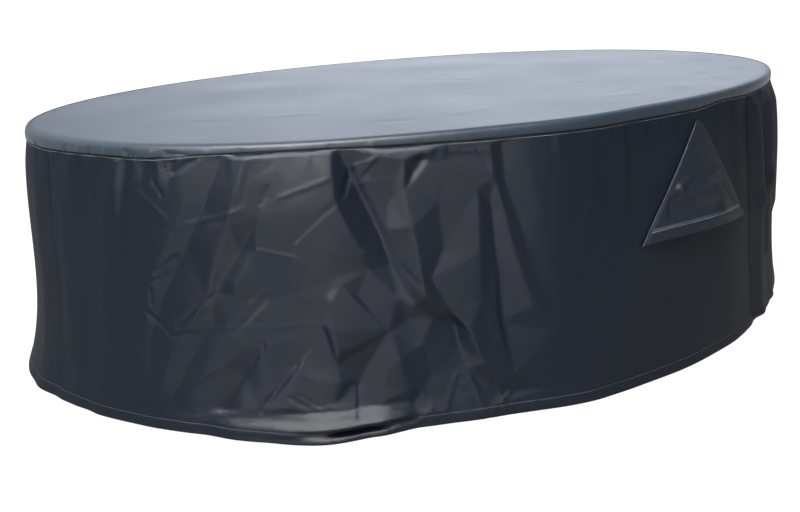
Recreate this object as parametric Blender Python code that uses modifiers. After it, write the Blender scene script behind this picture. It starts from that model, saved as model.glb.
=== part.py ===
"""Fitted cover for an oval garden table: an oval top, its edge band, a gathered skirt and a hooded vent.

Metres, +Z up.  The origin lies under the middle of the top panel, where the cover rests on the table.
X runs along the oval, and -Y is the side with the vent hood.  A place on the cloth wall is given by its
"across", the distance along the oval's edge from the middle of the -Y side (plus towards +X), and its
"down", the depth below the top face.
"""
from collections import namedtuple
from math import cos, pi, radians, sin

import bmesh
import bpy
import numpy as np

# Driving dimensions
HALF_LENGTH = 1.150
HALF_WIDTH = 0.875
DROP = 0.673
CLOTH = 0.002
GAP = 0.0003

# Edge band: the rounded shoulder between the top panel and the skirt's seam
EDGE_RADIUS = 0.008
EDGE_STEPS = 3
BAND_LIP = 0.006

# Top panel: its rings, as shares of the way out, and the low hollows and swells of the cloth
TOP_RINGS = (0.0, 0.34, 0.62, 0.86, 1.0)
Swell = namedtuple("Swell", "x y reach height")
TOP_SWELLS = (
    Swell(-0.62, 0.10, 0.38, -0.005),
    Swell(0.62, -0.14, 0.34, -0.004),
    Swell(0.30, 0.48, 0.28, 0.004),
    Swell(-0.24, -0.50, 0.26, 0.003),
    Swell(-0.36, 0.50, 0.24, -0.003),
)

# Skirt: columns along the edge, closer together where the cloth creases, and rows down the drop
Span = namedtuple("Span", "start end columns")
CREASED_SIDE = Span(-1.62, 1.02, 74)
PLAIN_SIDE_COLUMNS = 60
TUCK = 0.005
SEAM_ROLL = 0.0015
SKIRT_ROWS = (0.025, 0.08, 0.16, 0.25, 0.34, 0.43, 0.52, 0.61, 0.70, 0.79, 0.87, 0.94, 1.0)
SEAM_FADE = 0.07

# Depth of the seam between band and skirt below the top face, along the edge
Station = namedtuple("Station", "across value")
SEAM_DEPTH = (
    Station(-1.48, 0.031), Station(-1.16, 0.027), Station(-1.05, 0.029), Station(-0.86, 0.018),
    Station(-0.65, 0.015), Station(-0.46, 0.021), Station(-0.20, 0.025), Station(0.10, 0.027),
    Station(0.36, 0.028), Station(0.48, 0.021), Station(0.66, 0.027), Station(1.60, 0.026),
    Station(2.60, 0.029), Station(3.70, 0.025), Station(4.30, 0.029),
)

# How far the real edge lies outside (or, minus, inside) the true oval
EDGE_DRIFT = (
    Station(-1.60, 0.002), Station(-1.33, -0.006), Station(-0.95, 0.003), Station(-0.70, 0.002),
    Station(-0.46, -0.008), Station(-0.27, -0.008), Station(-0.03, 0.005), Station(0.19, -0.007),
    Station(0.50, -0.002), Station(0.85, 0.002), Station(1.15, 0.009), Station(1.60, 0.003),
    Station(2.30, 0.005), Station(3.20, -0.003), Station(4.10, 0.005),
)

# Hang of the wall: how far the cloth leans out from its edge near the seam, near the middle and at the hem.
# The first two are pulls on a cubic curve, so the wall bellies or draws in towards them.
Hang = namedtuple("Hang", "across belly waist hem")
WALL_HANG = (
    Hang(-1.63, 0.075, -0.020, 0.099), Hang(-1.50, 0.065, -0.005, 0.093), Hang(-1.30, 0.030, 0.040, 0.073),
    Hang(-1.10, 0.020, 0.040, 0.060), Hang(-0.95, 0.018, 0.035, 0.055), Hang(-0.80, 0.024, 0.038, 0.071),
    Hang(-0.66, 0.034, 0.050, 0.106), Hang(-0.54, 0.028, 0.046, 0.073), Hang(-0.45, 0.024, 0.036, 0.051),
    Hang(-0.27, 0.022, 0.040, 0.058), Hang(0.00, 0.022, 0.048, 0.071), Hang(0.23, 0.026, 0.052, 0.078),
    Hang(0.45, 0.026, 0.048, 0.070), Hang(0.70, 0.034, 0.026, 0.055), Hang(0.90, 0.046, 0.010, 0.050),
    Hang(1.40, 0.036, 0.030, 0.062), Hang(2.00, 0.024, 0.048, 0.072), Hang(2.60, 0.030, 0.040, 0.060),
    Hang(3.30, 0.025, 0.050, 0.075), Hang(4.00, 0.040, 0.040, 0.082),
)

# Folds of the wall: a soft ridge (or a trough, where the height is minus) between two places
Fold = namedtuple("Fold", "across_from down_from across_to down_to height reach")
SKIRT_FOLDS = (
    # upright gathers at the left end
    Fold(-1.47, 0.03, -1.50, 0.70, 0.010, 0.050),
    Fold(-1.40, 0.03, -1.42, 0.70, -0.008, 0.045),
    Fold(-1.33, 0.03, -1.35, 0.55, 0.008, 0.045),
    Fold(-1.25, 0.03, -1.28, 0.70, -0.009, 0.050),
    Fold(-1.15, 0.03, -1.19, 0.45, 0.010, 0.055),
    # long folds leaning away from the seam, left of the creased corner
    Fold(-0.96, 0.05, -1.10, 0.70, -0.008, 0.060),
    Fold(-0.80, 0.04, -1.02, 0.66, 0.012, 0.065),
    Fold(-0.73, 0.05, -0.92, 0.62, -0.009, 0.060),
    Fold(-0.66, 0.10, -0.80, 0.48, 0.008, 0.070),
    # ridges pulled together above the corner that stands out at the hem
    Fold(-0.62, 0.02, -0.42, 0.37, -0.014, 0.045),
    Fold(-0.56, 0.04, -0.43, 0.34, 0.013, 0.050),
    Fold(-0.47, 0.07, -0.42, 0.36, 0.012, 0.040),
    Fold(-0.29, 0.12, -0.41, 0.35, 0.012, 0.045),
    Fold(-0.35, 0.08, -0.42, 0.26, -0.010, 0.050),
    Fold(-0.41, 0.40, -0.47, 0.60, -0.010, 0.050),
    Fold(-0.51, 0.42, -0.62, 0.50, 0.010, 0.045),
    Fold(-0.51, 0.30, -0.51, 0.43, -0.008, 0.050),
    Fold(-0.78, 0.45, -0.89, 0.63, -0.010, 0.045),
    Fold(-0.65, 0.42, -0.76, 0.56, 0.010, 0.045),
    Fold(-0.70, 0.52, -0.58, 0.54, -0.010, 0.040),
    Fold(-0.66, 0.60, -0.66, 0.70, 0.012, 0.060),
    # upright step folds right of the corner
    Fold(-0.285, 0.06, -0.29, 0.54, 0.010, 0.040),
    Fold(-0.245, 0.08, -0.18, 0.46, -0.008, 0.045),
    Fold(-0.25, 0.43, -0.22, 0.64, 0.009, 0.045),
    Fold(-0.02, 0.03, -0.03, 0.34, 0.008, 0.040),
    Fold(0.03, 0.05, 0.02, 0.64, -0.005, 0.050),
    # soft upright folds beyond the vent hood
    Fold(0.67, 0.03, 0.69, 0.70, -0.009, 0.050),
    Fold(0.76, 0.03, 0.80, 0.70, 0.010, 0.050),
    Fold(0.86, 0.03, 0.91, 0.70, -0.009, 0.050),
    Fold(0.96, 0.03, 1.00, 0.70, 0.009, 0.055),
)

# Upright waves of the plain side: how many to the whole edge, how high at the hem, and their shift in turns
Wave = namedtuple("Wave", "count height shift")
PLAIN_WAVES = (Wave(23, 0.008, 0.10), Wave(15, 0.006, 0.45), Wave(37, 0.003, 0.75))
WAVE_BLEND = 0.25

# Vent hood: apex and lower corners on the wall, and how far its lower edge bows out
HOOD_APEX = (0.373, 0.068)
HOOD_LEFT = (0.133, 0.330)
HOOD_RIGHT = (0.572, 0.342)
HOOD_APEX_WIDTH = 0.016
HOOD_BOW = 0.032
HOOD_SEAT = 0.0005
HOOD_COLUMNS = 16
HOOD_ROWS = 10
HOOD_FOLDS = (
    Fold(0.31, 0.16, 0.23, 0.25, 0.006, 0.035),
    Fold(0.41, 0.19, 0.35, 0.22, 0.005, 0.030),
    Fold(0.34, 0.27, 0.47, 0.29, -0.006, 0.035),
)


def make_material(name, colour, roughness):
    """Coated cloth: a plain Principled surface."""
    material = bpy.data.materials.new(name)
    material.use_nodes = True
    shader = material.node_tree.nodes["Principled BSDF"]
    shader.inputs["Base Color"].default_value = (*colour, 1.0)
    shader.inputs["Roughness"].default_value = roughness
    shader.inputs["Metallic"].default_value = 0.0
    return material


def clear_scene():
    for thing in list(bpy.data.objects):
        bpy.data.objects.remove(thing, do_unlink=True)


def smooth(value):
    """0 up to 1 with level ends."""
    value = np.clip(value, 0.0, 1.0)
    return value * value * (3.0 - 2.0 * value)


class OvalEdge:
    """The oval's edge, measured by the distance along it."""

    def __init__(self, steps=7200):
        angle = np.linspace(-pi / 2, 3 * pi / 2, steps + 1)
        speed = np.hypot(HALF_LENGTH * np.sin(angle), HALF_WIDTH * np.cos(angle))
        length = np.cumsum((speed[1:] + speed[:-1]) / 2 * np.diff(angle))
        self.angle = angle
        self.length = np.concatenate([[0.0], length])
        self.around = self.length[-1]

    def frame(self, across):
        """Point of the cover's edge and its outward direction."""
        angle = np.interp(across % self.around, self.length, self.angle)
        oval = np.array([HALF_LENGTH * cos(angle), HALF_WIDTH * sin(angle)])
        outward = np.array([cos(angle) / HALF_LENGTH, sin(angle) / HALF_WIDTH])
        outward /= np.linalg.norm(outward)
        return oval + outward * along_edge(EDGE_DRIFT, across, self.around)[0], outward


def along_edge(stations, across, around):
    """Values at a place on the edge, eased from one station to the next and round the back."""
    first = stations[0].across
    place = first + (across - first) % around
    ring = stations + (stations[0]._replace(across=first + around),)
    after = next(index for index, station in enumerate(ring) if place <= station.across + 1e-9)
    after = max(after, 1)
    before = ring[after - 1]
    share = smooth((place - before.across) / (ring[after].across - before.across))
    return np.array(before[1:]) * (1.0 - share) + np.array(ring[after][1:]) * share


EDGE = OvalEdge()


def fold_relief(folds, across, down):
    """Height of the folds at a place on the wall, each fading out at its reach."""
    relief = 0.0
    for fold in folds:
        run = np.array([fold.across_to - fold.across_from, fold.down_to - fold.down_from])
        here = np.array([across - fold.across_from, down - fold.down_from])
        share = np.clip(here @ run / (run @ run), 0.0, 1.0)
        aside = np.linalg.norm(here - share * run)
        relief += fold.height * smooth(1.0 - aside / fold.reach)
    return relief


def plain_side_share(across):
    """1 on the side away from the creases, easing to 0 on the creased side."""
    place = CREASED_SIDE.start + (across - CREASED_SIDE.start) % EDGE.around
    past_end = (place - CREASED_SIDE.end) / WAVE_BLEND
    before_start = (CREASED_SIDE.start + EDGE.around - place) / WAVE_BLEND
    return smooth(past_end) * smooth(before_start)


def wave_relief(across, down):
    relief = 0.0
    for wave in PLAIN_WAVES:
        relief += wave.height * cos(2 * pi * (wave.count * across / EDGE.around + wave.shift))
    return relief * plain_side_share(across) * (0.25 + 0.75 * down / DROP)


def seam_depth(across):
    return along_edge(SEAM_DEPTH, across, EDGE.around)[0]


def wall_hang(across, down):
    """How far the wall leans out, before its folds."""
    belly, waist, hem = along_edge(WALL_HANG, across, EDGE.around)
    top = seam_depth(across) + SEAM_ROLL
    fall = max(down - top, 0.0) / (DROP - top)
    rise = 1.0 - fall
    return 3.0 * rise * rise * fall * belly + 3.0 * rise * fall * fall * waist + fall ** 3 * hem


def skirt_point(across, down):
    """Point of the skirt's outer face below the seam."""
    seam = seam_depth(across)
    place = across if across <= CREASED_SIDE.end else across - EDGE.around * (across > EDGE.around / 2)
    relief = fold_relief(SKIRT_FOLDS, place, down) + wave_relief(across, down)
    out = wall_hang(across, down) + relief * smooth((down - seam) / SEAM_FADE)
    tucked = (CLOTH + GAP) * (1.0 - smooth((down - seam - SEAM_ROLL) / SEAM_FADE))
    point, outward = EDGE.frame(across)
    x, y = point + outward * (out - tucked)
    return x, y, CLOTH - down


def skirt_rows(across):
    """Depths of a column's points: inside the edge band, at the seam, and on down to the hem."""
    seam = seam_depth(across)
    below = [seam + SEAM_ROLL + share * (DROP - seam - SEAM_ROLL) for share in SKIRT_ROWS]
    return [seam - TUCK, seam + SEAM_ROLL] + below


def edge_columns():
    """Places of the columns along the edge, the same for the top panel, the band and the skirt."""
    creased = np.linspace(CREASED_SIDE.start, CREASED_SIDE.end, CREASED_SIDE.columns, endpoint=False)
    plain_end = CREASED_SIDE.start + EDGE.around
    plain = np.linspace(CREASED_SIDE.end, plain_end, PLAIN_SIDE_COLUMNS, endpoint=False)
    return [float(place) for place in np.concatenate([creased, plain])]


def sheet_from_grid(name, columns, rows, place, closed):
    """Blender's grid bent to place(column, row), its two sides joined where it is closed."""
    bm = bmesh.new()
    bmesh.ops.create_grid(bm, x_segments=columns, y_segments=rows, size=1.0)
    for vert in bm.verts:
        column = round((vert.co.x + 1.0) / 2.0 * columns)
        row = round((1.0 - vert.co.y) / 2.0 * rows)
        vert.co = place(column % columns if closed else column, row)
    bmesh.ops.remove_doubles(bm, verts=bm.verts, dist=0.00005)
    mesh = bpy.data.meshes.new(name)
    bm.to_mesh(mesh)
    bm.free()
    mesh.shade_smooth()
    return bpy.data.objects.new(name, mesh)


def give_thickness(sheet, side):
    """Solid cloth from its outer (side -1) or its inner (side +1) face."""
    solidify = sheet.modifiers.new("cloth", "SOLIDIFY")
    solidify.thickness = CLOTH
    solidify.offset = side
    solidify.use_even_offset = True


def swell_height(x, y):
    height = 0.0
    for swell in TOP_SWELLS:
        height += swell.height * smooth(1.0 - np.hypot(x - swell.x, y - swell.y) / swell.reach)
    return height


def band_profile(across):
    """Points from the top panel over the shoulder and down to the seam, as (distance in, height)."""
    points = [(EDGE_RADIUS + BAND_LIP, CLOTH)]
    for step in range(EDGE_STEPS + 1):
        turn = radians(90.0) * step / EDGE_STEPS
        points.append((EDGE_RADIUS * (1.0 - sin(turn)), CLOTH - EDGE_RADIUS * (1.0 - cos(turn))))
    points.append((0.0, CLOTH - seam_depth(across)))
    return points


def make_top_panel():
    columns = edge_columns()
    rows = len(TOP_RINGS) - 1

    def place(column, row):
        point, outward = EDGE.frame(columns[column])
        x, y = (point - outward * (EDGE_RADIUS + BAND_LIP + GAP)) * TOP_RINGS[row]
        return x, y, CLOTH + swell_height(x, y)

    return sheet_from_grid("top_panel", len(columns), rows, place, closed=True)


def make_edge_band():
    columns = edge_columns()
    rows = EDGE_STEPS + 2

    def place(column, row):
        across = columns[column]
        point, outward = EDGE.frame(across)
        inset, height = band_profile(across)[row]
        x, y = point - outward * inset
        return x, y, height

    return sheet_from_grid("edge_band", len(columns), rows, place, closed=True)


def make_skirt():
    columns = edge_columns()
    rows = len(SKIRT_ROWS) + 1

    def place(column, row):
        across = columns[column]
        return skirt_point(across, skirt_rows(across)[row])

    return sheet_from_grid("skirt", len(columns), rows, place, closed=True)


def skirt_facet_point(across, down):
    """Point on the skirt's own facets, between its columns and rows."""
    columns = edge_columns()
    after = next(index for index, place in enumerate(columns) if place > across)
    sides = []
    for place in columns[after - 1:after + 1]:
        depths = skirt_rows(place)
        below = next(index for index, depth in enumerate(depths) if depth > down)
        upper = np.array(skirt_point(place, depths[below - 1]))
        lower = np.array(skirt_point(place, depths[below]))
        share = (down - depths[below - 1]) / (depths[below] - depths[below - 1])
        sides.append(upper + (lower - upper) * share)
    share = (across - columns[after - 1]) / (columns[after] - columns[after - 1])
    return sides[0] + (sides[1] - sides[0]) * share


def make_vent_hood():
    """Three-cornered flap: its long sides lie on the skirt and its lower edge bows out, open below."""

    def place(column, row):
        side = column / HOOD_COLUMNS
        fall = row / HOOD_ROWS
        corners = [np.array(corner) for corner in (HOOD_APEX, HOOD_LEFT, HOOD_RIGHT)]
        apex, left, right = corners
        half = np.array([HOOD_APEX_WIDTH / 2, 0.0])
        from_left = apex - half + (left - apex + half) * fall
        from_right = apex + half + (right - apex - half) * fall
        across, down = from_left + (from_right - from_left) * side
        bow = sin(pi * side) ** 0.8 * fall ** 1.3
        lift = HOOD_BOW * bow + fold_relief(HOOD_FOLDS, across, down) * sin(pi * side)
        outward = EDGE.frame(across)[1]
        x, y, z = skirt_facet_point(across, down)
        x += outward[0] * (HOOD_SEAT + lift)
        y += outward[1] * (HOOD_SEAT + lift)
        return x, y, z

    return sheet_from_grid("vent_hood", HOOD_COLUMNS, HOOD_ROWS, place, closed=False)


def main():
    clear_scene()
    collection = bpy.data.collections.new("patio_furniture_cover")
    bpy.context.scene.collection.children.link(collection)
    pieces = (
        (make_top_panel(), -1.0, make_material("top_cloth", (0.055, 0.068, 0.092), 0.38)),
        (make_edge_band(), -1.0, make_material("band_cloth", (0.045, 0.054, 0.072), 0.40)),
        (make_skirt(), -1.0, make_material("skirt_cloth", (0.035, 0.040, 0.052), 0.45)),
        (make_vent_hood(), 1.0, make_material("hood_cloth", (0.038, 0.045, 0.060), 0.42)),
    )
    for sheet, side, material in pieces:
        give_thickness(sheet, side)
        sheet.data.materials.append(material)
        collection.objects.link(sheet)


main()
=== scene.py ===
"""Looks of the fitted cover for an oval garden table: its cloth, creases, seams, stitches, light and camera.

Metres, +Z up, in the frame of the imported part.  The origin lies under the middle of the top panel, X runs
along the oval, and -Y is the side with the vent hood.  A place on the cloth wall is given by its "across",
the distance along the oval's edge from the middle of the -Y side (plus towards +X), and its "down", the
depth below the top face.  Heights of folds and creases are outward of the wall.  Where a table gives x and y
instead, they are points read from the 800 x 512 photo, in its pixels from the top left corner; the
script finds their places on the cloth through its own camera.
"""
from collections import namedtuple
from math import cos, pi, radians, sin

import bmesh
import bpy
import numpy as np
from mathutils import Matrix, Vector
from mathutils.geometry import delaunay_2d_cdt


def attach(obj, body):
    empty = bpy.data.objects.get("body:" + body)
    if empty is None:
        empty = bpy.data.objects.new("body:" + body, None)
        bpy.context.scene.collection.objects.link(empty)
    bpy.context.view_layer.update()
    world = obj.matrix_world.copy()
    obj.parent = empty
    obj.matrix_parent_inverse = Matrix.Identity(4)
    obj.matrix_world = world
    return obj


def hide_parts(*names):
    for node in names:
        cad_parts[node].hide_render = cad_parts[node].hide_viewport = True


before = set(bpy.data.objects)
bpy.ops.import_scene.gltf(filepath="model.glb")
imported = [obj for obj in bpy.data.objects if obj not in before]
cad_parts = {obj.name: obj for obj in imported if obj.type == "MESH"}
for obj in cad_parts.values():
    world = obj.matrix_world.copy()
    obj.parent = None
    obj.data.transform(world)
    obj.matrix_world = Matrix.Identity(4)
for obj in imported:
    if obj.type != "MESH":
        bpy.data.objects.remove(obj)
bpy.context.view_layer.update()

# The cover's own sizes, as in the part's source
HALF_LENGTH = 1.150
HALF_WIDTH = 0.875
DROP = 0.673
CLOTH = 0.002
GAP = 0.0003
EDGE_RADIUS = 0.008
BAND_LIP = 0.006
BAND_TURN = 0.0015
TOP_GROOVE = 0.0015
TOP_GROOVE_WIDTH = 0.012
TUCK = 0.005
SEAM_ROLL = 0.0015
SEAM_FADE = 0.07
CREASE_FADE = 0.010
CREASE_SCALE = 1.8
THIN_SCALE = 1.0
GATHER_SCALE = 1.1
CREASED_START = -1.62
CREASED_END = 1.02

# Camera, and the even lean of the wall at its hem on which points of the photo are found
CAMERA_PLACE = (-1.2693, -2.5674, 0.3418)
CAMERA_TARGET = (-0.0955, 0.0, -0.5423)
CAMERA_ROLL = radians(-3.2)
CAMERA_LENS = 41.0
SENSOR_WIDTH = 36.0
PHOTO_WIDTH = 800
PHOTO_HEIGHT = 512
SIGHT_STEPS = 16
Station = namedtuple("Station", "across value")
PHOTO_LEAN = [Station(*row) for row in (
    (-1.62, 0.1), (-1.5, 0.094), (-1.3, 0.075), (-1.1, 0.06), (-0.95, 0.052), (-0.8, 0.067), (-0.66, 0.101),
    (-0.58, 0.075), (-0.46, 0.05), (-0.3, 0.055), (-0.1, 0.066), (0.1, 0.074), (0.25, 0.077), (0.4, 0.07),
    (0.6, 0.066), (0.8, 0.054), (1.0, 0.055),
)]

# Broad shape of the top and the wall; x and y of the top are metres from its middle
Swell = namedtuple("Swell", "x y reach height")
TOP_SWELLS = [Swell(*row) for row in (
    (-0.62, 0.1, 0.38, -0.005), (0.62, -0.14, 0.34, -0.004), (0.3, 0.48, 0.28, 0.004),
    (-0.24, -0.5, 0.26, 0.003), (-0.36, 0.5, 0.24, -0.003),
)]
SEAM_DEPTH = [Station(*row) for row in (
    (-1.48, 0.031), (-1.16, 0.027), (-1.05, 0.029), (-0.86, 0.018), (-0.65, 0.015), (-0.46, 0.021),
    (-0.2, 0.025), (0.1, 0.027), (0.36, 0.028), (0.48, 0.021), (0.66, 0.027), (1.6, 0.026), (2.6, 0.029),
    (3.7, 0.025), (4.3, 0.029),
)]
EDGE_DRIFT = [Station(*row) for row in (
    (-1.6, 0.002), (-1.33, -0.006), (-0.95, 0.003), (-0.7, 0.002), (-0.46, -0.008), (-0.27, -0.008),
    (-0.03, 0.005), (0.19, -0.007), (0.5, -0.002), (0.85, 0.002), (1.15, 0.009), (1.6, 0.003),
    (2.3, 0.005), (3.2, -0.003), (4.1, 0.005),
)]
Hang = namedtuple("Hang", "across belly waist hem")
WALL_HANG = [Hang(*row) for row in (
    (-1.63, 0.045, 0.005, 0.096), (-1.5, 0.045, 0.012, 0.09), (-1.3, 0.03, 0.04, 0.073),
    (-1.1, 0.02, 0.04, 0.06), (-0.95, 0.018, 0.035, 0.055), (-0.8, 0.018, 0.03, 0.067),
    (-0.66, 0.026, 0.036, 0.082), (-0.54, 0.024, 0.038, 0.066), (-0.45, 0.024, 0.036, 0.051),
    (-0.27, 0.022, 0.04, 0.058), (0.0, 0.022, 0.048, 0.071), (0.23, 0.026, 0.052, 0.078),
    (0.45, 0.026, 0.048, 0.07), (0.7, 0.034, 0.026, 0.055), (0.9, 0.046, 0.01, 0.05),
    (1.4, 0.036, 0.03, 0.062), (2.0, 0.024, 0.048, 0.072), (2.6, 0.03, 0.04, 0.06),
    (3.3, 0.025, 0.05, 0.075), (4.0, 0.04, 0.04, 0.082),
)]
Fold = namedtuple("Fold", "across_from down_from across_to down_to height reach")
SKIRT_FOLDS = [Fold(*row) for row in (
    (-1.47, 0.03, -1.5, 0.7, 0.004, 0.05), (-1.4, 0.03, -1.42, 0.7, -0.004, 0.045),
    (-1.33, 0.03, -1.35, 0.55, 0.003, 0.045), (-1.25, 0.03, -1.28, 0.7, -0.004, 0.05),
    (-1.15, 0.03, -1.19, 0.45, 0.004, 0.055), (0.03, 0.05, 0.02, 0.64, -0.003, 0.05),
    (0.64, 0.05, 0.66, 0.7, -0.0052, 0.055), (0.7, 0.02, 0.74, 0.34, 0.0073, 0.045),
    (0.74, 0.34, 0.72, 0.7, 0.0052, 0.05), (0.78, 0.06, 0.8, 0.5, -0.0073, 0.045),
    (0.86, 0.03, 0.85, 0.3, 0.0084, 0.045), (0.85, 0.3, 0.88, 0.7, 0.0052, 0.05),
    (0.92, 0.05, 0.93, 0.6, -0.0073, 0.045), (1.0, 0.03, 1.01, 0.4, 0.0084, 0.05),
    (1.09, 0.05, 1.1, 0.6, -0.0063, 0.055),
)]
Wave = namedtuple("Wave", "count height shift")
PLAIN_WAVES = (Wave(23, 0.008, 0.10), Wave(15, 0.006, 0.45), Wave(37, 0.003, 0.75))
WAVE_BLEND = 0.35
WAVE_MARGIN = 0.30
WAVE_AT_SEAM = 0.25

HOOD_APEX = (0.366, 0.056)
HOOD_LEFT = (0.133, 0.330)
HOOD_RIGHT = (0.572, 0.342)
HOOD_APEX_WIDTH = 0.016
HOOD_BOW = 0.032
HOOD_SEAT = 0.0005
HOOD_HEM_FALL = 0.905
HOOD_HEM_STEP = 0.0014
HOOD_HEM_RISE = 0.016
HOOD_HEM_EASE = 0.006
HOOD_SIDE_EASE = 0.12
HOOD_CLEAR = 0.001
HOOD_STITCH_FALLS = (0.880, 0.898)
HOOD_STITCH_SIDES = (0.025, 0.975)
SEAM_STITCH = 0.005

# Creased corner: where its creases meet in the photo, and how far each point stands out before CREASE_SCALE.
# The points of a group are numbered from 0, and a chain of creases runs through the points that it names.
Node = namedtuple("Node", "name x y height")
NODE_GROUPS = (
    ("outer", (146, 160, 0.0), (130, 220, 0.0), (120, 290, 0.0), (110, 350, 0.0), (104, 404, 0.0)),
    ("tan", (198, 157, 0.0005), (186, 205, 0.0015), (160, 255, 0.0015), (149, 300, 0.001),
        (140, 345, 0.0)),
    ("dip", (221, 155, -0.001), (204, 205, -0.0015), (188, 242, -0.0015), (166, 292, -0.002),
        (150, 345, -0.002)),
    ("blue", (246, 154, 0.008), (237, 190, 0.0085), (229, 225, 0.008), (216, 258, 0.006),
        (208, 296, 0.003)), ("lite", (196, 318, 0.003), (172, 352, 0.002), (156, 398, 0.001)),
    ("vale", (214, 320, -0.001), (197, 347, -0.0015), (180, 385, -0.001), (172, 408, -0.001)),
    ("crest", (241, 300, 0.002), (224, 336, 0.0015), (207, 366, 0.001), (192, 402, 0.001)),
    ("over", (258, 218, 0.005), (238, 252, -0.003), (220, 283, -0.002)),
    ("lap", (257, 250, 0.004), (236, 284, 0.0035)), ("patch", (234, 300, 0.003), (209, 316, -0.001)),
    ("sheet", (262, 153, 0.004), (296, 152, 0.0035)),
    ("edge", (331, 150, 0.002), (332, 178, 0.006), (335, 203, 0.007), (348, 228, 0.006),
        (362, 250, 0.002)),
    ("pit", (338, 150, -0.002), (350, 177, -0.008), (361, 198, -0.012), (372, 218, -0.012),
        (382, 238, -0.011)),
    ("rib", (347, 150, -0.001), (358, 174, -0.004), (370, 196, -0.006), (381, 217, -0.006),
        (387, 233, -0.006)), ("sink", (391, 262, -0.009), (402, 285, -0.005), (415, 305, 0.001)),
    ("ledge", (372, 150, 0.003), (381, 157, 0.005), (405, 160, 0.005), (427, 154, 0.004),
        (441, 147, 0.002)), ("tongue", (393, 180, -0.002), (388, 204, -0.007)),
    ("flank", (404, 192, 0.003), (411, 226, 0.0065), (418, 262, 0.008)), ("pinch", (424, 292, 0.01)),
    ("pocket", (425, 158, -0.003), (413, 174, -0.003)), ("brim", (431, 162, 0.0), (419, 178, 0.0)),
    ("dark", (452, 160, -0.001), (440, 205, -0.0015)),
    ("diagonal", (478, 190, -0.0015), (461, 224, -0.002), (444, 252, -0.0015), (431, 279, 0.003)),
    ("step", (480, 200, 0.0), (481, 250, 0.002), (483, 300, 0.003), (485, 345, 0.003)),
    ("foot", (494, 205, -0.005), (499, 260, -0.005), (504, 325, -0.003)),
    ("line", (493, 142, 0.002), (495, 178, 0.002), (506, 216, 0.001), (514, 248, 0.002),
        (534, 305, 0.002)),
    ("after", (503, 142, -0.002), (506, 180, -0.002), (518, 216, -0.002), (530, 250, -0.001),
        (546, 300, 0.0)), ("shade", (366, 272, -0.001), (359, 299, -0.002)),
    ("keel", (391, 268, -0.009), (398, 300, 0.0)), ("star", (389, 333, -0.001)),
    ("fall", (408, 320, -0.005)),
    ("lens", (286, 297, 0.001), (318, 269, 0.004), (338, 276, 0.001), (357, 263, 0.001)),
    ("brow", (340, 286, 0.003)),
    ("rim", (324, 300, 0.002), (332, 302, 0.005), (330, 332, 0.006), (337, 358, 0.002)),
    ("hub", (320, 327, 0.0)), ("knot", (335, 370, -0.003)), ("basin", (359, 386, -0.008)),
    ("wing", (400, 360, 0.004), (410, 390, 0.002)), ("leaf", (302, 378, 0.003), (340, 387, 0.0)),
    ("spur", (263, 346, 0.003), (244, 378, -0.003), (221, 411, -0.003)), ("spine", (268, 393, 0.0045)),
    ("wake", (252, 347, 0.003), (222, 366, 0.0)),
    ("knife", (320, 341, 0.0), (296, 367, 0.0), (273, 393, 0.0015), (261, 411, 0.004)),
    ("keen", (300, 366, 0.002)),
    ("sill", (200, 412, -0.001), (240, 411, 0.002), (290, 410, 0.005), (335, 408, -0.003),
        (375, 408, -0.003), (411, 410, -0.002)), ("hull", (425, 345, -0.004), (430, 380, -0.003)),
    ("lobe", (434, 320, -0.002), (456, 327, -0.007), (462, 350, -0.009), (470, 372, -0.007),
        (500, 395, -0.004)), ("ridge", (450, 309, 0.004), (470, 330, 0.006), (484, 362, 0.003)),
    ("tri", (497, 312, 0.002), (514, 376, 0.002)),
    ("kite", (462, 368, -0.007), (447, 411, 0.0), (486, 411, 0.0)),
    ("right", (540, 200, 0.0), (552, 260, 0.0), (556, 330, 0.0), (560, 385, 0.0)),
    ("upper", (470, 146, 0.0), (520, 140, 0.0)),
)
CREASE_NODES = [Node(f"{stem}{number}", *point) for stem, *points in NODE_GROUPS
                for number, point in enumerate(points)]
CREASE_CHAINS = (
    "tan0 tan1 tan2 tan3 tan4", "dip0 dip1 dip2 dip3 dip4", "blue0 blue1 blue2 blue3 blue4 patch1",
    "lite0 lite1 lite2", "patch1 vale0 vale1 vale2 vale3", "patch0 crest0 crest1 crest2 crest3",
    "over0 over1 over2 patch1", "over0 lap0 over2", "over2 lap1 patch0 patch1",
    "edge0 edge1 edge2 edge3 edge4", "pit0 pit1 pit2 pit3 pit4 sink0 sink1 sink2",
    "rib0 rib1 rib2 rib3 rib4", "ledge0 ledge1 ledge2 ledge3 ledge4", "ledge1 rib1",
    "ledge2 tongue0 tongue1 rib4", "ledge2 flank0 flank1 flank2 pinch0", "ledge3 pocket0 pocket1 flank0",
    "brim0 brim1 flank0", "diagonal0 diagonal1 diagonal2 diagonal3 pinch0",
    "diagonal0 step0 step1 step2 step3", "foot0 foot1 foot2", "line0 line1 line2 line3 line4",
    "after0 after1 after2 after3 after4", "edge4 shade0 shade1", "keel0 keel1 star0", "edge4 keel0",
    "lens0 lens1 lens3", "lens0 lens2 lens3", "brow0 rim1 rim2 rim3 knot0", "rim0 hub0 knot0",
    "brow0 star0", "shade1 star0", "star0 knot0", "star0 basin0", "star0 wing0 wing1", "knot0 basin0",
    "leaf0 knot0", "leaf0 leaf1 basin0", "leaf0 knife2", "hub0 knife0 knife1 knife2 knife3",
    "knife0 keen0 knife2", "spur0 spur1 spur2", "spur0 spine0 knife2", "spur0 wake0 wake1", "hub0 spur0",
    "hub0 wake0", "sill0 spur2 sill1 knife3 sill2 sill3 sill4 sill5", "lobe0 lobe1 lobe2 lobe3 lobe4",
    "ridge0 ridge1 ridge2", "step3 ridge2", "tri0 tri1", "kite0 kite1", "kite0 kite2", "hull0 hull1",
    "basin0 sill3", "wing1 sill5",
    "diagonal0 foot0", "over0 edge1", "sill1 sill5",
)

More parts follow.
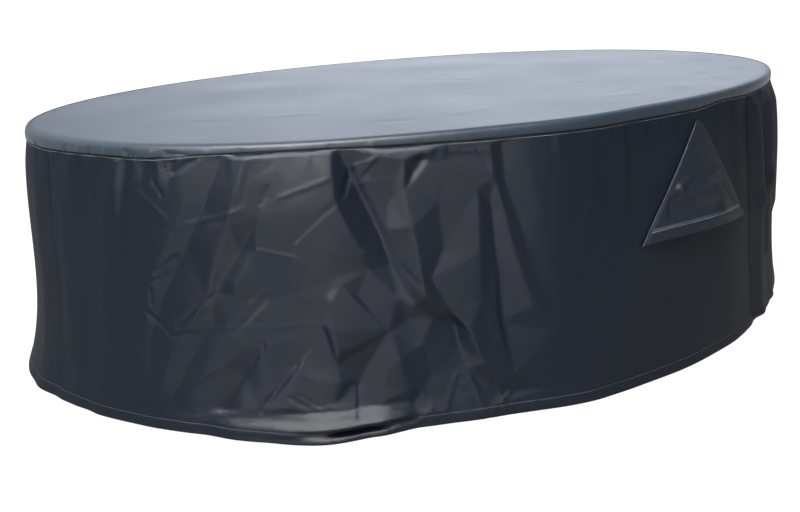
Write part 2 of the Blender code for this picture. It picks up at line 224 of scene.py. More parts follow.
# Thin creases over the facets, as lines in the photo, four more placed on the wall itself, and the gathers,
# which run down from the seam and fade out
Crease = namedtuple("Crease", "x_from y_from x_to y_to height reach")
THIN_CREASES = [Crease(*row) for row in (
    (150, 160, 196, 157, 0.005, 0.008), (582, 254, 584, 268, 0.0016, 0.01),
    (640, 345, 655, 372, 0.0015, 0.014), (280, 197, 327, 179, 0.0012, 0.009),
    (333, 204, 295, 240, -0.0016, 0.01), (295, 240, 294, 262, -0.0018, 0.009),
    (257, 250, 293, 258, 0.0012, 0.009), (293, 258, 306, 267, 0.001, 0.009),
    (320, 248, 352, 258, 0.001, 0.009), (320, 327, 228, 328, 0.0006, 0.009),
    (228, 328, 180, 329, 0.0006, 0.009), (350, 171, 343, 197, -0.0035, 0.011),
    (381, 158, 345, 171, 0.0016, 0.009), (381, 158, 363, 179, -0.002, 0.01),
    (352, 188, 393, 178, 0.001, 0.009), (222, 296, 233, 290, -0.0012, 0.009),
    (222, 293, 200, 303, -0.0016, 0.01), (200, 303, 180, 325, -0.0018, 0.01),
    (240, 210, 190, 224, 0.0014, 0.009), (190, 224, 103, 248, 0.0007, 0.01),
    (212, 226, 200, 240, 0.0012, 0.009), (200, 155, 173, 173, -0.0035, 0.011),
    (153, 181, 162, 195, -0.0022, 0.01), (138, 193, 165, 217, 0.0012, 0.01),
    (176, 257, 157, 272, -0.0022, 0.01), (153, 282, 166, 275, -0.0018, 0.009),
    (151, 290, 152, 304, -0.0016, 0.009), (145, 310, 173, 335, -0.0016, 0.01),
    (178, 336, 190, 332, -0.0022, 0.009), (237, 330, 265, 300, -0.0018, 0.012),
    (250, 300, 262, 286, -0.0014, 0.01), (222, 366, 178, 393, 0.0014, 0.01),
    (296, 367, 261, 411, -0.003, 0.01), (263, 346, 221, 411, -0.0022, 0.009),
    (290, 399, 330, 424, -0.0022, 0.009), (300, 398, 345, 422, -0.0018, 0.009),
    (345, 393, 353, 387, -0.0018, 0.008), (359, 388, 360, 420, -0.002, 0.01),
    (415, 389, 423, 391, 0.0014, 0.009), (423, 391, 436, 420, 0.0014, 0.01),
    (420, 421, 434, 407, 0.0012, 0.009), (458, 376, 447, 411, 0.0012, 0.01),
    (469, 370, 486, 411, 0.0014, 0.01), (500, 383, 506, 411, 0.0014, 0.01),
    (502, 404, 516, 390, 0.0012, 0.009), (401, 268, 419, 284, -0.0012, 0.009),
    (452, 152, 491, 151, 0.0016, 0.009), (478, 150, 489, 168, -0.0014, 0.009),
    (247, 178, 243, 203, -0.0016, 0.01), (268, 188, 262, 204, -0.0014, 0.01),
    (305, 266, 307, 284, -0.001, 0.01),
)]
WALL_CREASES = [Fold(*row) for row in (
    (-0.028, 0.036, -0.044, 0.222, -0.002, 0.028), (0.006, 0.036, -0.008, 0.222, 0.002, 0.028),
    (-0.036, 0.222, -0.018, 0.24, 0.002, 0.01), (-0.783, 0.449, -0.783, 0.58, -0.0016, 0.009),
)]
SEAM_GATHERS = [Crease(*row) for row in (
    (33, 148, 36, 190, -0.004, 0.018), (40, 149, 42, 205, 0.003, 0.018), (47, 150, 50, 262, 0.004, 0.02),
    (55, 151, 57, 205, -0.003, 0.018), (64, 152, 66, 205, 0.0035, 0.018),
    (72, 153, 73, 232, -0.0035, 0.02), (80, 154, 81, 187, 0.002, 0.014), (87, 154, 88, 242, 0.003, 0.02),
    (96, 155, 97, 212, -0.003, 0.02), (103, 156, 103, 182, 0.002, 0.014),
    (114, 157, 110, 250, 0.0045, 0.028), (125, 157, 121, 215, -0.003, 0.022),
    (133, 158, 130, 192, 0.002, 0.018), (143, 158, 141, 202, -0.0025, 0.018),
    (157, 161, 160, 200, 0.003, 0.018), (171, 161, 168, 195, -0.002, 0.016),
    (232, 154, 230, 180, 0.0015, 0.014), (276, 152, 274, 172, -0.0015, 0.014),
    (308, 151, 306, 176, 0.0012, 0.014), (452, 147, 452, 170, -0.0015, 0.014),
    (560, 136, 560, 172, 0.0024, 0.014), (575, 134, 573, 162, -0.0024, 0.014),
    (601, 130, 600, 166, 0.0024, 0.014), (616, 127, 616, 152, -0.0032, 0.014),
    (633, 125, 634, 242, -0.0056, 0.022), (646, 123, 646, 152, 0.0032, 0.014),
    (660, 119, 660, 152, 0.0048, 0.014), (673, 116, 673, 142, -0.0032, 0.012),
    (688, 113, 688, 132, 0.0024, 0.01), (708, 109, 709, 132, -0.0024, 0.012),
    (722, 105, 722, 142, 0.0032, 0.014), (738, 100, 742, 240, 0.0048, 0.026),
    (750, 94, 754, 230, -0.0048, 0.024), (762, 87, 765, 200, 0.0048, 0.024),
)]
# On the top, a fold's across and down are metres along x and y
TOP_WRINKLES = [Fold(*row) for row in (
    (0.07, 0.06, 0.16, -0.04, -0.0011, 0.033), (0.43, -0.3, 0.56, -0.22, -0.0014, 0.033),
    (0.25, -0.43, 0.35, -0.35, -0.0011, 0.033), (0.22, -0.64, 0.31, -0.66, 0.0011, 0.03),
    (0.29, -0.6, 0.36, -0.56, -0.0011, 0.03), (0.47, -0.66, 0.52, -0.58, 0.0014, 0.033),
    (0.6, -0.65, 0.66, -0.58, -0.0014, 0.033), (0.65, -0.52, 0.72, -0.46, -0.0017, 0.036),
    (0.88, -0.45, 0.95, -0.38, 0.0011, 0.03), (0.86, -0.12, 0.91, -0.03, -0.0014, 0.033),
    (0.8, -0.3, 0.88, -0.26, 0.0011, 0.03), (0.92, -0.22, 1.0, -0.2, -0.0011, 0.03),
    (-0.6, -0.3, -0.48, -0.34, 0.0008, 0.033), (-0.78, -0.22, -0.7, -0.3, -0.0008, 0.033),
    (-0.2, -0.62, -0.12, -0.6, 0.0008, 0.03), (-0.4, -0.6, -0.33, -0.63, -0.0008, 0.03),
)]
Round = namedtuple("Round", "across width fall")
EDGE_ROUND = [Round(*row) for row in (
    (-1.6, 0.013, 0.024), (-1.0, 0.013, 0.022), (-0.78, 0.01, 0.013), (-0.55, 0.009, 0.012),
    (-0.2, 0.01, 0.016), (0.8, 0.01, 0.016), (2.4, 0.01, 0.012), (4.3, 0.011, 0.016),
)]
BAND_PUCKERS = [Fold(*row) for row in (
    (-1.478, 0.024, -1.471, 0.033, -0.003, 0.012), (-1.305, 0.021, -1.305, 0.031, -0.0025, 0.014),
    (-1.251, 0.02, -1.251, 0.029, 0.002, 0.014), (-1.207, 0.019, -1.207, 0.028, -0.0025, 0.014),
    (-1.154, 0.019, -1.154, 0.028, 0.0015, 0.014), (-1.09, 0.018, -1.066, 0.027, -0.0035, 0.014),
    (-1.019, 0.019, -1.019, 0.028, 0.002, 0.014), (-0.975, 0.019, -0.93, 0.026, -0.0045, 0.013),
    (-0.883, 0.014, -0.883, 0.023, 0.0015, 0.012), (-0.803, 0.013, -0.803, 0.022, -0.0015, 0.012),
    (-0.692, 0.013, -0.692, 0.021, 0.001, 0.012), (-0.606, 0.013, -0.606, 0.021, -0.002, 0.01),
    (-0.516, 0.016, -0.516, 0.025, 0.002, 0.012), (-0.413, 0.022, -0.413, 0.031, -0.0015, 0.012),
    (-0.302, 0.025, -0.302, 0.034, 0.0015, 0.012), (-0.22, 0.027, -0.22, 0.035, -0.0015, 0.012),
    (-0.003, 0.033, -0.003, 0.04, 0.0015, 0.012), (0.145, 0.031, 0.145, 0.038, -0.002, 0.012),
    (0.368, 0.026, 0.368, 0.033, 0.0015, 0.012), (0.578, 0.024, 0.578, 0.031, -0.002, 0.012),
)]
HOOD_CREASES = [Crease(*row) for row in (
    (688, 178, 680, 188, 0.0048, 0.015), (680, 188, 669, 197, 0.0048, 0.015),
    (705, 176, 722, 166, 0.0037, 0.013), (690, 187, 713, 178, 0.0037, 0.015),
    (672, 204, 690, 200, -0.0048, 0.024), (682, 193, 718, 196, 0.0048, 0.018),
    (672, 213, 716, 205, -0.0059, 0.021), (655, 226, 668, 207, 0.0024, 0.015),
    (722, 182, 732, 199, -0.0037, 0.018), (714, 186, 719, 200, 0.0037, 0.013),
    (700, 150, 712, 162, -0.0024, 0.021),
)]
Ledge = namedtuple("Ledge", "across shelf mouth lip")
LEDGE_DEPTHS = (0.606, 0.639, 0.652, 0.663)
HEM_LEDGE = [Ledge(*row) for row in (
    (-1.06, 0.0, 0.0, 0.0), (-0.94, 0.004, 0.004, 0.003), (-0.85, 0.013, 0.012, 0.01),
    (-0.73, 0.022, 0.02, 0.016), (-0.69, 0.025, 0.01, 0.015), (-0.62, 0.027, -0.01, 0.013),
    (-0.55, 0.024, -0.01, 0.01), (-0.49, 0.015, 0.0, 0.007), (-0.44, 0.006, 0.005, 0.004),
    (-0.36, 0.0, 0.0, 0.0),
)]
HEM_HEIGHT = 0.026
HEM_STEP = 0.0010
HEM_EASE = 0.004
BAND_EASE = 0.006

# Columns and rows of the meshes, as (start, end, step) spans across the cloth and down it
CREASED_COLUMNS = ((CREASED_START, -1.15, 0.009), (-1.15, -0.18, 0.0042), (-0.18, CREASED_END, 0.009))
CREASED_ROWS = (0.0, 1.0, 0.0068)
PLAIN_STEP = 0.022
PLAIN_ROWS = (0.0, 1.0, 0.025)
STRETCH_GAP = 0.02
INNER_STRIDE = 3
BAND_STEP = 0.005
BAND_PLAIN_STEP = 0.02
HOOD_HEM_END = HOOD_HEM_FALL + HOOD_HEM_EASE
HOOD_ROWS = ((0.0, HOOD_HEM_FALL, 0.012), (HOOD_HEM_FALL, HOOD_HEM_END, 0.002), (HOOD_HEM_END, 1.0, 0.012))


def smooth(value):
    """0 up to 1 with level ends."""
    value = np.clip(value, 0.0, 1.0)
    return value * value * (3.0 - 2.0 * value)


def unit(vectors):
    return vectors / np.linalg.norm(vectors, axis=-1, keepdims=True)


class OvalEdge:
    """The oval's edge, measured by the distance along it."""

    STEPS = 7200

    def __init__(self):
        angle = np.linspace(-pi / 2, 3 * pi / 2, self.STEPS + 1)
        speed = np.hypot(HALF_LENGTH * np.sin(angle), HALF_WIDTH * np.cos(angle))
        length = np.cumsum((speed[1:] + speed[:-1]) / 2 * np.diff(angle))
        self.angle = angle
        self.length = np.concatenate([[0.0], length])
        self.around = self.length[-1]

    def across_at(self, angle):
        """Distance along the edge at an angle of the oval."""
        return np.interp((angle + pi / 2) % (2 * pi) - pi / 2, self.angle, self.length)

    def plain(self, angle):
        """Points of the plain oval and its outward directions."""
        oval = np.stack([HALF_LENGTH * np.cos(angle), HALF_WIDTH * np.sin(angle)], -1)
        outward = np.stack([np.cos(angle) / HALF_LENGTH, np.sin(angle) / HALF_WIDTH], -1)
        return oval, unit(outward)

    def frame(self, across):
        """Points of the cover's edge and its outward directions."""
        oval, outward = self.plain(np.interp(across % self.around, self.length, self.angle))
        return oval + outward * along_edge(EDGE_DRIFT, across), outward

    def nearest(self, points):
        """For each point its place across on the plain oval, how far out it lies, and the way out."""
        oval, outward = self.plain(self.angle)
        offset = points[:, None] - oval
        index = np.argmin((offset ** 2).sum(-1), axis=1)
        across = self.length[index]
        across = np.where(across > self.around / 2, across - self.around, across)
        out = (offset[np.arange(len(points)), index] * outward[index]).sum(-1)
        return across, out, outward[index]


def along_edge(stations, across):
    """Values at places on the edge, eased from one station to the next and round the back."""
    places = np.array([station.across for station in stations] + [stations[0].across + EDGE.around])
    values = np.array([station[1:] for station in stations] + [stations[0][1:]])
    place = places[0] + (across - places[0]) % EDGE.around
    after = np.clip(np.searchsorted(places, place), 1, len(places) - 1)
    share = smooth((place - places[after - 1]) / (places[after] - places[after - 1]))[..., None]
    return values[after - 1] * (1.0 - share) + values[after] * share


EDGE = OvalEdge()


def camera_axes():
    """The camera's right, up and back directions."""
    back = (Vector(CAMERA_PLACE) - Vector(CAMERA_TARGET)).normalized()
    level_right = Vector((0.0, 0.0, 1.0)).cross(back).normalized()
    level_up = back.cross(level_right)
    right = level_right * cos(CAMERA_ROLL) + level_up * sin(CAMERA_ROLL)
    up = level_up * cos(CAMERA_ROLL) - level_right * sin(CAMERA_ROLL)
    return right, up, back


def wall_places(pixels):
    """(across, down) of points of the photo: where their lines of sight meet the evenly leaning wall."""
    right, up, back = (np.array(axis) for axis in camera_axes())
    x, y = np.array(pixels, dtype=float).T[..., None]
    ahead = back * PHOTO_WIDTH * CAMERA_LENS / SENSOR_WIDTH
    sights = unit(right * (x - PHOTO_WIDTH / 2) - up * (y - PHOTO_HEIGHT / 2) - ahead)
    points = np.array(CAMERA_PLACE) + 0.0 * sights
    lean_across, lean_at_hem = np.array(PHOTO_LEAN).T
    for _ in range(SIGHT_STEPS):
        across, out, outward = EDGE.nearest(points[:, :2])
        fall = np.clip((CLOTH - points[:, 2]) / DROP, 0.0, 1.0)
        gap = out - fall * np.interp(across, lean_across, lean_at_hem)
        points -= sights * (gap / (sights[:, :2] * outward).sum(-1))[:, None]
    return np.stack([across, CLOTH - points[:, 2]], -1)


def wall_folds(creases):
    """Folds of the wall along lines of the photo."""
    starts = wall_places([crease[:2] for crease in creases])
    ends = wall_places([crease[2:4] for crease in creases])
    return [Fold(*start, *end, *crease[4:]) for start, end, crease in zip(starts, ends, creases)]


NODE_PLACES = wall_places([(node.x, node.y) for node in CREASE_NODES])
THIN_FOLDS = wall_folds(THIN_CREASES) + WALL_CREASES
GATHER_FOLDS = wall_folds(SEAM_GATHERS)
HOOD_FOLDS = wall_folds(HOOD_CREASES)


def signed_place(across):
    """The same place with the creased side's own numbers, from about -1.6 to 4.8."""
    return CREASED_START + (across - CREASED_START) % EDGE.around


def fold_relief(folds, across, down, taper=0.0):
    """Height of soft folds, each fading out at its reach and, with a taper, towards its lower end."""
    place = np.where(across > EDGE.around / 2, across - EDGE.around, across)
    relief = np.zeros_like(place)
    for fold in folds:
        run = np.array([fold.across_to - fold.across_from, fold.down_to - fold.down_from])
        here_across, here_down = place - fold.across_from, down - fold.down_from
        share = np.clip((here_across * run[0] + here_down * run[1]) / (run @ run), 0.0, 1.0)
        aside = np.hypot(here_across - share * run[0], here_down - share * run[1])
        relief += fold.height * smooth(1.0 - aside / fold.reach) * (1.0 - taper * share)
    return relief


def wave_relief(across, down):
    """Upright waves of the plain side."""
    place = signed_place(across)
    share = smooth((place - CREASED_END - WAVE_MARGIN) / WAVE_BLEND)
    share *= smooth((CREASED_START + EDGE.around - WAVE_MARGIN - place) / WAVE_BLEND)
    relief = sum(w.height * np.cos(2 * pi * (w.count * across / EDGE.around + w.shift)) for w in PLAIN_WAVES)
    return relief * share * (WAVE_AT_SEAM + (1.0 - WAVE_AT_SEAM) * down / DROP)


def seam_depth(across):
    return along_edge(SEAM_DEPTH, across)[..., 0]


def wall_hang(across, down):
    """How far the wall leans out, before its folds."""
    belly, waist, hem = np.moveaxis(along_edge(WALL_HANG, across), -1, 0)
    top = seam_depth(across) + SEAM_ROLL
    fall = np.maximum(down - top, 0.0) / (DROP - top)
    rise = 1.0 - fall
    return 3.0 * rise * rise * fall * belly + 3.0 * rise * fall * fall * waist + fall ** 3 * hem


# Creased corner

def crease_triangles():
    """Corners of the flat facets between the creases, as (across, down, height) rows."""
    index = {node.name: number for number, node in enumerate(CREASE_NODES)}
    points = [Vector(place) for place in NODE_PLACES]
    edges = []
    for chain in CREASE_CHAINS:
        names = chain.split()
        edges += [(index[a], index[b]) for a, b in zip(names, names[1:])]
    verts, _, faces, origins, _, _ = delaunay_2d_cdt(points, edges, [], 0, 1e-5)
    heights = [CREASE_NODES[origin[0]].height if origin else 0.0 for origin in origins]
    corners = [(vert.x, vert.y, height) for vert, height in zip(verts, heights)]
    return [np.array([corners[corner] for corner in face]) for face in faces]


def facet_relief(across, down):
    """Height of the facets on a grid; above and below them each column keeps its nearest height."""
    relief = np.full(across.shape, np.nan)
    for a, b, c in crease_triangles():
        twice_area = (b[0] - a[0]) * (c[1] - a[1]) - (c[0] - a[0]) * (b[1] - a[1])
        if abs(twice_area) < 1e-9:
            continue
        to_b = ((across - a[0]) * (c[1] - a[1]) - (down - a[1]) * (c[0] - a[0])) / twice_area
        to_c = ((down - a[1]) * (b[0] - a[0]) - (across - a[0]) * (b[1] - a[1])) / twice_area
        inside = (to_b >= -1e-6) & (to_c >= -1e-6) & (to_b + to_c <= 1.0 + 1e-6)
        height = a[2] + to_b * (b[2] - a[2]) + to_c * (c[2] - a[2])
        relief[inside] = height[inside]
    rows = np.arange(across.shape[1])
    for column in relief:
        known = np.flatnonzero(~np.isnan(column))
        column[:] = np.interp(rows, known, column[known]) if len(known) else 0.0
    return relief


def ledge_relief(across, down):
    """The shelf over the hem at the creased corner, and the mouth where the doubled hem gapes."""
    shelf, mouth, lip = np.moveaxis(along_edge(HEM_LEDGE, across), -1, 0)
    heights = (0.0 * shelf, shelf, mouth, lip)
    relief = np.where(down >= LEDGE_DEPTHS[-1], lip, 0.0)
    for step in range(len(LEDGE_DEPTHS) - 1):
        above, below = LEDGE_DEPTHS[step:step + 2]
        share = (down - above) / (below - above)
        inside = (share >= 0.0) & (share < 1.0)
        relief = np.where(inside, heights[step] * (1.0 - share) + heights[step + 1] * share, relief)
    return relief


def soften(grid, passes):
    """Rounds the creases of a grid of heights."""
    for _ in range(passes):
        grid = np.pad(grid, 1, mode="edge")
        grid = (grid[:-2] + 2 * grid[1:-1] + grid[2:]) / 4
        grid = (grid[:, :-2] + 2 * grid[:, 1:-1] + grid[:, 2:]) / 4
    return grid


def creased_relief(across, down):
    """All that stands out of the wall on the creased side, besides its soft folds."""
    relief = CREASE_SCALE * soften(facet_relief(across, down), 1) + ledge_relief(across, down)
    relief += THIN_SCALE * fold_relief(THIN_FOLDS, across, down)
    relief += GATHER_SCALE * fold_relief(GATHER_FOLDS, across, down, taper=1.0)
    return relief * smooth((down - seam_depth(across) - SEAM_ROLL) / CREASE_FADE)


def wall_point(across, down, extra=0.0):
    """Points of the skirt's outer face, with extra height beyond its soft folds."""
    seam = seam_depth(across)
    relief = fold_relief(SKIRT_FOLDS, across, down) + wave_relief(across, down)
    out = wall_hang(across, down) + relief * smooth((down - seam) / SEAM_FADE) + extra
    out = out + HEM_STEP * smooth((down - DROP + HEM_HEIGHT) / HEM_EASE)
    tucked = (CLOTH + GAP) * (1.0 - smooth((down - seam - SEAM_ROLL) / SEAM_FADE))
    point, outward = EDGE.frame(across)
    flat = point + outward * (out - tucked)[..., None]
    return np.concatenate([flat, (CLOTH - down)[..., None]], -1)


# Meshes

def add_grid(bm, points, places):
    """Blender's grid bent to an array of points; keeps each point's place on the cloth for its weave."""
    layer = bm.verts.layers.float_vector.get("place") or bm.verts.layers.float_vector.new("place")
    columns, rows = points.shape[0] - 1, points.shape[1] - 1
    made = bmesh.ops.create_grid(bm, x_segments=columns, y_segments=rows, size=1.0)["verts"]
    grid = {}
    for vert in made:
        column = round((vert.co.x + 1.0) / 2.0 * columns)
        row = round((1.0 - vert.co.y) / 2.0 * rows)
        vert.co = points[column, row]
        vert[layer] = (*places[column, row], 0.0)
        grid[column, row] = vert
    return grid


def line_edges(grid, axis, number):
    """Edges along a grid's column (axis 0) or row (axis 1); -1 is the last."""
    number %= 1 + max(place[axis] for place in grid)
    verts = [grid[place] for place in sorted(grid) if place[axis] == number]
    return [next(e for e in a.link_edges if e.other_vert(a) is b) for a, b in zip(verts, verts[1:])]


def column_edges(grid, column):
    return line_edges(grid, 0, column)


def row_edges(grid, row):
    return line_edges(grid, 1, row)


def finish_mesh(bm, name):
    """Mesh object with a UV map of places on the cloth, in metres."""
    bmesh.ops.recalc_face_normals(bm, faces=bm.faces)
    mesh = bpy.data.meshes.new(name)
    bm.to_mesh(mesh)
    bm.free()
    places = np.zeros(len(mesh.vertices) * 3)
    mesh.attributes["place"].data.foreach_get("vector", places)
    corners = np.zeros(len(mesh.loops), dtype=int)
    mesh.loops.foreach_get("vertex_index", corners)
    flat = places.reshape(-1, 3)[corners, :2]
    for polygon in mesh.polygons:
        turn = slice(polygon.loop_start, polygon.loop_start + polygon.loop_total)
        if np.ptp(flat[turn, 0]) > EDGE.around / 2:
            flat[turn, 0] += np.where(flat[turn, 0] < EDGE.around / 4, EDGE.around, 0.0)
    mesh.uv_layers.new(name="cloth").data.foreach_set("uv", flat.ravel())
    mesh.attributes.remove(mesh.attributes["place"])
    mesh.shade_smooth()
    thing = bpy.data.objects.new(name, mesh)
    bpy.context.scene.collection.objects.link(thing)
    return thing


def give_thickness(sheet, side):
    """Thickness of the cloth, outwards of the mesh where side is 1 and inwards where it is -1."""
    solidify = sheet.modifiers.new("cloth", "SOLIDIFY")
    solidify.thickness = CLOTH
    solidify.offset = side
    solidify.use_even_offset = False


def places_between(*spans):
    """Places along a line: (start, end, step) spans one after another, ending at the last end."""
    runs = [np.linspace(start, end, max(1, round((end - start) / step)), endpoint=False)
            for start, end, step in spans]
    return np.concatenate(runs + [[spans[-1][1]]])


def wall_depths(across, shares):
    """Depths of the skirt's rows: inside the edge band, at the seam, and on down to the hem."""
    seam = seam_depth(across)[:, None]
    below = seam + SEAM_ROLL + shares * (DROP - seam - SEAM_ROLL)
    return np.concatenate([seam - TUCK, below], 1)


Stretch = namedtuple("Stretch", "points places inward")


def skirt_stretches():
    """The skirt's outer face as two grids of points: the creased side and the plain one behind it."""
    plain_end = CREASED_START + EDGE.around - STRETCH_GAP
    plain_columns = ((CREASED_END + STRETCH_GAP, plain_end, PLAIN_STEP),)
    sides = ((CREASED_COLUMNS, CREASED_ROWS, creased_relief), (plain_columns, PLAIN_ROWS, None))
    stretches = []
    for column_spans, row_span, relief in sides:
        columns = places_between(*column_spans)
        down = wall_depths(columns, places_between(row_span))
        across = np.repeat(columns[:, None], down.shape[1], 1)
        extra = relief(across, down) if relief else 0.0
        inward = np.concatenate([-EDGE.frame(across)[1], 0.0 * across[..., None]], -1)
        stretches.append(Stretch(wall_point(across, down, extra), np.stack([across, down], -1), inward))
    return stretches


SKIRT_STRETCHES = skirt_stretches()


def thinned(count, stride):
    """Every stride-th row or column, and always the last."""
    return np.unique(np.append(np.arange(0, count, stride), count - 1))


def add_face(bm, stretches, stride, depth):
    """One face of the skirt, set in by a depth: its stretches joined into a ring."""
    grids = []
    for stretch in stretches:
        points = stretch.points + stretch.inward * depth
        pick = np.ix_(thinned(points.shape[0], stride), thinned(points.shape[1], stride))
        grids.append(add_grid(bm, points[pick], stretch.places[pick]))
    for grid, follower in (grids, grids[::-1]):
        bmesh.ops.bridge_loops(bm, edges=column_edges(grid, -1) + column_edges(follower, 0))
    return grids


def make_skirt():
    """Outer face in full and inner face thinned, joined along the seam and the hem."""
    bm = bmesh.new()
    outer = add_face(bm, SKIRT_STRETCHES, 1, 0.0)
    inner = add_face(bm, SKIRT_STRETCHES, INNER_STRIDE, CLOTH)
    for outer_grid, inner_grid in zip(outer, inner):
        for row in (0, -1):
            bmesh.ops.bridge_loops(bm, edges=row_edges(outer_grid, row) + row_edges(inner_grid, row))
    bmesh.ops.holes_fill(bm, edges=[edge for edge in bm.edges if edge.is_boundary], sides=4)
    return finish_mesh(bm, "skirt_cloth")


def top_height(x, y):
    """Soft swells of the top and its small wrinkles."""
    swells = sum(s.height * smooth(1.0 - np.hypot(x - s.x, y - s.y) / s.reach) for s in TOP_SWELLS)
    return swells + fold_relief(TOP_WRINKLES, x, y)


def make_top():
    """The flat top, on a square grid drawn out to the oval."""
    u, v = np.meshgrid(np.linspace(-1, 1, 221), np.linspace(1, -1, 161), indexing="ij")
    disc_x, disc_y = u * np.sqrt(1 - v * v / 2), v * np.sqrt(1 - u * u / 2)
    out = np.hypot(disc_x, disc_y)
    edge, outward = EDGE.frame(EDGE.across_at(np.arctan2(disc_y, disc_x)))
    rim = edge - outward * (EDGE_RADIUS + BAND_LIP + GAP)
    flat = rim * out[..., None]
    groove = TOP_GROOVE * smooth(1.0 - (1.0 - out) * HALF_WIDTH / TOP_GROOVE_WIDTH)
    height = CLOTH + top_height(flat[..., 0], flat[..., 1]) - groove
    bm = bmesh.new()
    add_grid(bm, np.concatenate([flat, height[..., None]], -1), flat)
    top = finish_mesh(bm, "top_cloth")
    give_thickness(top, -1.0)
    return top


def make_band():
    """Rounded strip between the top and the skirt's seam, slack and puckered at the left end."""
    columns = places_between((CREASED_START, CREASED_END, BAND_STEP),
                             (CREASED_END, CREASED_START + EDGE.around, BAND_PLAIN_STEP))[:-1]
    width, fall = np.moveaxis(along_edge(EDGE_ROUND, columns), -1, 0)
    seam = seam_depth(columns)
    turns = np.linspace(0.0, pi / 2, 13)
    round_inset = width[:, None] * (1.0 - np.sin(turns))
    round_down = fall[:, None] * (1.0 - np.cos(turns))
    lower = np.linspace(0.0, 1.0, 4)[1:]
    lower_down = fall[:, None] + lower * (seam - fall)[:, None]
    lip = np.full((len(columns), 1), EDGE_RADIUS + BAND_LIP)
    inset = np.concatenate([lip, round_inset, 0.0 * lower_down], 1)
    down = np.concatenate([0.0 * lip, round_down, lower_down], 1)
    inset[:, -1] += BAND_TURN
    down[:, 0] += TOP_GROOVE
    across = np.repeat(columns[:, None], down.shape[1], 1)
    pucker = fold_relief(BAND_PUCKERS, across, down) * smooth(down / BAND_EASE)
    point, outward = EDGE.frame(across)
    flat = point - outward * (inset - pucker)[..., None]
    bm = bmesh.new()
    grid = add_grid(bm, np.concatenate([flat, (CLOTH - down)[..., None]], -1), np.stack([across, down], -1))
    bmesh.ops.bridge_loops(bm, edges=column_edges(grid, -1) + column_edges(grid, 0))
    band = finish_mesh(bm, "band_cloth")
    give_thickness(band, -1.0)
    return band


def hood_places(side, fall):
    """Places on the wall under the hood, from its left side to its right and down from its apex."""
    apex, left, right = (np.array(corner) for corner in (HOOD_APEX, HOOD_LEFT, HOOD_RIGHT))
    half = np.array([HOOD_APEX_WIDTH / 2, 0.0])
    from_left = apex - half + (left - apex + half) * fall[..., None]
    from_right = apex + half + (right - apex - half) * fall[..., None]
    place = from_left + (from_right - from_left) * side[..., None]
    raised = HOOD_HEM_RISE * np.sin(pi * np.clip(side, 0.0, 1.0)) * fall ** 2
    return place[..., 0], place[..., 1] - raised


def hood_lift(side, fall):
    """How far the hood stands off the wall: flat along its sewn sides, open along its hem."""
    return HOOD_BOW * np.sin(pi * np.clip(side, 0.0, 1.0)) ** 1.4 * fall ** 1.6


def hood_surface(side, fall):
    """Points of the hood's cloth and its outward directions."""
    across, down = hood_places(side, fall)
    creased = fold_relief(HOOD_FOLDS, across, down) * smooth(np.minimum(side, 1.0 - side) / HOOD_SIDE_EASE)
    hem = HOOD_HEM_STEP * smooth((fall - HOOD_HEM_FALL) / HOOD_HEM_EASE)
    points = wall_point(across, down, HOOD_SEAT + HOOD_CLEAR + hood_lift(side, fall) + creased + hem)
    outward = EDGE.frame(across)[1]
    return points, np.concatenate([outward, 0.0 * across[..., None]], -1)


def make_hood():
    side, fall = np.meshgrid(np.linspace(0, 1, 121), places_between(*HOOD_ROWS), indexing="ij")
    bm = bmesh.new()
    add_grid(bm, hood_surface(side, fall)[0], np.stack(hood_places(side, fall), -1))
    hood = finish_mesh(bm, "hood_cloth")
    give_thickness(hood, 1.0)
    return hood


# Stitches

STITCH_PITCH = 0.0046
STITCH_LENGTH = 0.0034
STITCH_WIDTH = 0.0010
STITCH_HEIGHT = 0.0007
STITCH_RUN = np.linspace(0.03, 0.97, 161)
LOOK_AHEAD = 0.001
Line = namedtuple("Line", "points outward")


def along_line(values, length, places):
    return np.stack([np.interp(places, length, values[:, axis]) for axis in range(3)], -1)


def stitch_corners(line):
    """Six corners of every stitch along a line: both ends, both sides, outer and inner tip."""
    steps = np.linalg.norm(np.diff(line.points, axis=0), axis=1)
    length = np.concatenate([[0.0], np.cumsum(steps)])
    places = np.arange(STITCH_PITCH / 2, length[-1], STITCH_PITCH)
    middle = along_line(line.points, length, places)
    before = along_line(line.points, length, places - LOOK_AHEAD)
    ahead = unit(along_line(line.points, length, places + LOOK_AHEAD) - before)
    outward = along_line(line.outward, length, places)
    aside = unit(np.cross(ahead, outward))
    reaches = (ahead * STITCH_LENGTH / 2, aside * STITCH_WIDTH / 2, outward * STITCH_HEIGHT)
    return np.stack([middle + sign * reach for reach in reaches for sign in (1, -1)], 1)


def make_stitches(name, lines):
    """Every stitch of the lines as a small eight-sided bead, all in one mesh."""
    corners = np.concatenate([stitch_corners(line) for line in lines])
    sides = [(a, b, c) for a in (0, 1) for b in (2, 3) for c in (4, 5)]
    turned = [side if sum(side) % 2 else side[::-1] for side in sides]
    first = 6 * np.arange(len(corners))
    faces = (np.array(turned)[None] + first[:, None, None]).reshape(-1, 3)
    mesh = bpy.data.meshes.new(name)
    mesh.from_pydata(corners.reshape(-1, 3).tolist(), [], faces.tolist())
    thing = bpy.data.objects.new(name, mesh)
    bpy.context.scene.collection.objects.link(thing)
    return thing


def skirt_line(stretch, depths):
    """Line across one stretch of the skirt's outer face, at a depth for each column."""
    points = [[np.interp(here, places[:, 1], column[:, axis]) for axis in range(3)]
              for here, places, column in zip(depths, stretch.places, stretch.points)]
    return Line(np.array(points), -stretch.inward[:, 0])


def hood_line(side, fall):
    """Line on the hood's outer face."""
    points, outward = hood_surface(side, fall)
    return Line(points + outward * CLOTH, outward)


def skirt_lines(depth_at):
    """Lines round the skirt, at the depths that depth_at gives for places across."""
    return [skirt_line(stretch, depth_at(stretch.places[:, 0, 0])) for stretch in SKIRT_STRETCHES]


